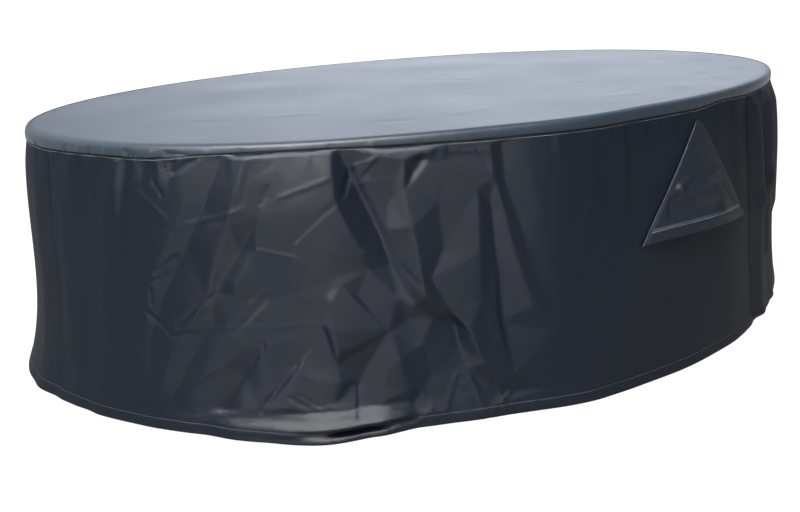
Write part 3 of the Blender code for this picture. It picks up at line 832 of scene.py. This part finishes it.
def seam_lines():
    return skirt_lines(lambda across: seam_depth(across) + SEAM_STITCH)


def hem_lines():
    return skirt_lines(lambda across: np.full_like(across, DROP - HEM_HEIGHT))


def hood_hem_lines():
    return [hood_line(STITCH_RUN, np.full_like(STITCH_RUN, fall)) for fall in HOOD_STITCH_FALLS]


def hood_side_lines():
    return [hood_line(np.full_like(STITCH_RUN, side), STITCH_RUN) for side in HOOD_STITCH_SIDES]


# Materials

class Nodes:
    """Short calls for the nodes of a material or a world."""

    def __init__(self, tree):
        self.tree = tree

    def node(self, kind, inputs, **settings):
        """A node with its settings, its inputs given as numbers or as another node's output."""
        made = self.tree.nodes.new(kind)
        for name, value in settings.items():
            setattr(made, name, value)
        for socket, value in inputs.items():
            if isinstance(value, bpy.types.NodeSocket):
                self.tree.links.new(value, made.inputs[socket])
            else:
                made.inputs[socket].default_value = value
        return made

    def maths(self, operation, *values):
        return self.node("ShaderNodeMath", dict(enumerate(values)), operation=operation).outputs[0]

    def ramp(self, value, low, high, to_low=0.0, to_high=1.0):
        """value carried smoothly from low..high to to_low..to_high."""
        inputs = {"Value": value, "From Min": low, "From Max": high, "To Min": to_low, "To Max": to_high}
        return self.node("ShaderNodeMapRange", inputs, interpolation_type="SMOOTHSTEP").outputs[0]

    def mix(self, share, first, second):
        made = self.node("ShaderNodeMix", {0: share}, data_type="RGBA")
        for socket, value in ((made.inputs[6], first), (made.inputs[7], second)):
            if isinstance(value, bpy.types.NodeSocket):
                self.tree.links.new(value, socket)
            else:
                socket.default_value = (*value, 1.0)
        return made.outputs[2]

    def noise(self, place, size, detail=2.0, roughness=0.5, distortion=0.0):
        inputs = {"Vector": place, "Scale": 1.0 / size, "Detail": detail, "Roughness": roughness,
                  "Distortion": distortion}
        return self.node("ShaderNodeTexNoise", inputs).outputs["Fac"]

    def bump(self, height, depth, under=None):
        inputs = {"Height": height, "Distance": depth, "Strength": 1.0}
        if under is not None:
            inputs["Normal"] = under
        return self.node("ShaderNodeBump", inputs).outputs["Normal"]


class Shader(Nodes):
    """A Principled material; with a coat, all its sheen comes from that."""

    def __init__(self, name, roughness, ior, coat=0.0):
        self.material = bpy.data.materials.new(name)
        self.material.use_nodes = True
        super().__init__(self.material.node_tree)
        self.surface = self.tree.nodes["Principled BSDF"]
        self.put("Roughness", roughness)
        self.put("IOR", ior)
        if coat:
            self.put("Specular IOR Level", 0.0)
            self.put("Coat Weight", coat)
            self.put("Coat Roughness", roughness)
            self.put("Coat IOR", ior)

    def put(self, name, value):
        self.surface.inputs[name].default_value = value

    def connect(self, socket, name):
        self.tree.links.new(socket, self.surface.inputs[name])


WEAVE_PITCH = 0.0011
GRID_PITCH = 0.0055
WEAVE_DEPTH = 0.00008
GRID_DEPTH = 0.00005
CRUMPLE_SIZE = 0.050
CRUMPLE_DEPTH = 0.0035
DUST_SIZE = 0.35
DUST_SHARE = 0.45
GRAIN_SIZE = 0.004
GRAIN_SHARE = 0.35
GRID_DUST = 0.12
GRID_ROUGHNESS = 0.03
SMOOTHEST = -0.015
ROUGHEST = 0.02
Cloth = namedtuple("Cloth", "slot colour dust roughness ior coat weave crumple")
# The top, band, skirt and hood are one cloth. The top's colour is painted much lighter and bluer than the
# skirt's: painted light and a painted reflection of the sky it faces.
TOP_CLOTH_PAINTED_LIGHT = Cloth("top_cloth", (0.014, 0.032, 0.064), (0.019, 0.04, 0.073), 0.36, 1.41, 0.0, 0.6, 0.3)
# The band's colour is painted lighter than the skirt's: painted light for the sky its rounded edge catches.
BAND_CLOTH_PAINTED_LIGHT = Cloth("band_cloth", (0.0035, 0.006, 0.01), (0.005, 0.0078, 0.0118), 0.4, 1.27, 0.0, 0.6, 0.5)
SKIRT_CLOTH = Cloth(
    "skirt_cloth", (0.0012, 0.0021, 0.0039), (0.0018, 0.0027, 0.0045), 0.24, 1.8, 0.115, 1.0, 0.5)
# The hood's colour is painted a little lighter than the skirt's: painted light.
HOOD_CLOTH = Cloth(
    "hood_cloth", (0.0016, 0.0026, 0.0044), (0.0026, 0.0036, 0.0054), 0.28, 1.8, 0.19, 1.0, 0.5)


def cloth_material(cloth):
    """Coated woven polyester: fine weave, a faint square grid, dust and small crumples, on each piece's base
    colour, which paints lit and shaded copies of the one cloth.
    """
    shader = Shader(cloth.slot, cloth.roughness, cloth.ior, cloth.coat)
    place = shader.node("ShaderNodeUVMap", {}, uv_map="cloth").outputs["UV"]
    parts = shader.node("ShaderNodeSeparateXYZ", {"Vector": place})
    threads = []
    for pitch in (WEAVE_PITCH, GRID_PITCH):
        for axis in ("X", "Y"):
            turns = shader.maths("MULTIPLY", parts.outputs[axis], 2 * pi / pitch)
            threads.append(shader.maths("SINE", turns))
    weave = shader.maths("MULTIPLY", threads[0], threads[1])
    grid = shader.maths("MAXIMUM", threads[2], threads[3])
    grid = shader.ramp(grid, 0.2, 1.0)
    crumple = shader.noise(place, CRUMPLE_SIZE, detail=4.0, roughness=0.55, distortion=0.4)
    soft = shader.noise(place, DUST_SIZE)
    grain = shader.noise(place, GRAIN_SIZE)
    dusty = shader.ramp(soft, 0.35, 0.70)
    dusty = shader.maths("MULTIPLY_ADD", grid, GRID_DUST * cloth.weave, dusty)
    speckled = shader.maths("MULTIPLY_ADD", grain, GRAIN_SHARE, shader.maths("MULTIPLY", dusty, DUST_SHARE))
    shader.connect(shader.mix(speckled, cloth.colour, cloth.dust), "Base Color")
    rough = shader.ramp(soft, 0.3, 0.7, cloth.roughness + SMOOTHEST, cloth.roughness + ROUGHEST)
    shader.connect(shader.maths("MULTIPLY_ADD", grid, GRID_ROUGHNESS, rough), "Roughness")
    normal = shader.bump(crumple, CRUMPLE_DEPTH * cloth.crumple)
    normal = shader.bump(grid, GRID_DEPTH * cloth.weave, normal)
    normal = shader.bump(weave, WEAVE_DEPTH * cloth.weave, normal)
    shader.connect(normal, "Normal")
    shader.connect(normal, "Coat Normal")
    return shader.material


THREAD_TONE_SIZE = 0.05
THREAD_DARKEST = 0.45


def thread_material(name, colour):
    """Sewing thread, a little uneven in tone."""
    shader = Shader(name, 0.55, 1.45)
    place = shader.node("ShaderNodeTexCoord", {}).outputs["Object"]
    tone = shader.ramp(shader.noise(place, THREAD_TONE_SIZE), 0.35, 0.65)
    darkest = [THREAD_DARKEST * part for part in colour]
    shader.connect(shader.mix(tone, darkest, colour), "Base Color")
    return shader.material


# Floor, light and camera

FLOOR_DEPTH = 0.740
FLOOR_GLOW = 1.0


def floor_material():
    """Plain pale floor with an even glow, so that it stays white right round the cover."""
    shader = Shader("floor_paint", 0.8, 1.45)
    shader.put("Base Color", (0.03, 0.03, 0.03, 1.0))
    shader.put("Emission Color", (1.0, 1.0, 1.0, 1.0))
    shader.put("Emission Strength", FLOOR_GLOW)
    return shader.material


def make_floor():
    bpy.ops.mesh.primitive_plane_add(size=200.0, location=(0.0, 0.0, -FLOOR_DEPTH + CLOTH))
    floor = bpy.context.object
    floor.name = "floor"
    floor.data.materials.append(floor_material())


def make_camera():
    camera = bpy.data.objects.new("camera", bpy.data.cameras.new("camera"))
    camera.data.lens = CAMERA_LENS
    camera.data.sensor_width = SENSOR_WIDTH
    turn = Matrix(camera_axes()).transposed()
    camera.matrix_world = Matrix.Translation(CAMERA_PLACE) @ turn.to_4x4()
    bpy.context.scene.collection.objects.link(camera)
    bpy.context.scene.camera = camera


Softbox = namedtuple("Softbox", "name place target size_x size_y glow colour")
SOFTBOXES = (
    Softbox("left_key", (-2.36, -3.69, 0.10), (-0.66, -0.76, -0.30), 0.90, 1.5, 36.0, (1.0, 0.95, 0.90)),
    Softbox("high_key", (-2.30, -2.45, 3.60), (-0.66, -0.90, -0.62), 2.8, 2.8, 82.0, (1.0, 0.98, 0.95)),
)
SKY_LOW = (0.42, 0.47, 0.54)
SKY_HIGH = (0.60, 0.68, 0.80)
SKY_LEFT = (0.42, 0.47, 0.54)
SKY_SIDE = (2.2, 2.3, 2.5)
SKY_BACK = (2.2, 2.35, 2.6)
VIEW_AWAY = (0.588, 0.809, 0.0)
VIEW_LEFT = (-1.0, 0.0, 0.0)
VIEW_SIDE = (-0.52, 0.55, 0.65)
SKY_LIGHTS = (
    (VIEW_LEFT, 0.35, 0.85, SKY_LEFT), (VIEW_SIDE, 0.74, 0.95, SKY_SIDE), (VIEW_AWAY, 0.74, 0.98, SKY_BACK),
)


def make_softbox(box):
    data = bpy.data.lights.new(box.name, "AREA")
    data.shape = "RECTANGLE"
    data.size, data.size_y = box.size_x, box.size_y
    data.energy = box.glow * pi * box.size_x * box.size_y
    data.color = box.colour
    light = bpy.data.objects.new(box.name, data)
    light.location = box.place
    light.rotation_euler = (Vector(box.place) - Vector(box.target)).to_track_quat("Z", "Y").to_euler()
    bpy.context.scene.collection.objects.link(light)


def make_sky():
    """Studio surround: pale low down, brighter overhead, and brightest to the side and straight behind."""
    world = bpy.data.worlds.new("studio")
    world.use_nodes = True
    shader = Nodes(world.node_tree)
    look = shader.node("ShaderNodeTexCoord", {}).outputs["Generated"]
    up = shader.node("ShaderNodeSeparateXYZ", {"Vector": look}).outputs["Z"]
    colour = shader.mix(shader.ramp(up, 0.05, 0.80), SKY_LOW, SKY_HIGH)
    for way, low, high, glow in SKY_LIGHTS:
        towards = shader.node("ShaderNodeVectorMath", {0: look, 1: way}, operation="DOT_PRODUCT")
        colour = shader.mix(shader.ramp(towards.outputs["Value"], low, high), colour, glow)
    shader.tree.links.new(colour, shader.tree.nodes["Background"].inputs["Color"])
    bpy.context.scene.world = world


def make_lights():
    for box in SOFTBOXES:
        make_softbox(box)
    make_sky()
    bpy.context.scene.view_settings.view_transform = "Standard"


def spare_from_softboxes(things):
    """Keeps the softboxes off these pieces, whose level sheen would mirror them to a viewer behind."""
    spared = bpy.data.collections.new("spared_from_softboxes")
    for thing in things:
        spared.objects.link(thing)
    for member in spared.collection_objects:
        member.light_linking.link_state = "EXCLUDE"
    for box in SOFTBOXES:
        bpy.data.objects[box.name].light_linking.receiver_collection = spared


# Pieces

Piece = namedtuple("Piece", "make node cloth flat area")
PIECES = (
    Piece(make_top, "top_panel", TOP_CLOTH_PAINTED_LIGHT, (2.29, 1.74), 2.29 * 1.74 * pi / 4),
    Piece(make_band, "edge_band", BAND_CLOTH_PAINTED_LIGHT, (6.40, 0.045), None),
    Piece(make_skirt, "skirt", SKIRT_CLOTH, (6.60, 0.68), None),
    Piece(make_hood, "vent_hood", HOOD_CLOTH, (0.46, 0.30), 0.46 * 0.30 * 0.54),
)


Sewing = namedtuple("Sewing", "name lines slot colour")
SEWING = (
    Sewing("seam_stitches", seam_lines, "skirt_cloth", (0.11, 0.12, 0.14)),
    Sewing("hem_stitches", hem_lines, "skirt_cloth", (0.02, 0.025, 0.03)),
    Sewing("hood_stitches", hood_hem_lines, "hood_cloth", (0.18, 0.20, 0.23)),
    Sewing("hood_side_stitches", hood_side_lines, "hood_cloth", (0.012, 0.015, 0.020)),
)


def main():
    make_floor()
    make_camera()
    make_lights()
    for piece in PIECES:
        thing = piece.make()
        thing.data.materials.append(cloth_material(piece.cloth))
        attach(thing, "root")
        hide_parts(piece.node)
    spare_from_softboxes([bpy.data.objects["top_cloth"]])
    for sewing in SEWING:
        thread = make_stitches(sewing.name, sewing.lines())
        thread.data.materials.append(thread_material(thread.name, sewing.colour))
        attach(thread, "root")


main()
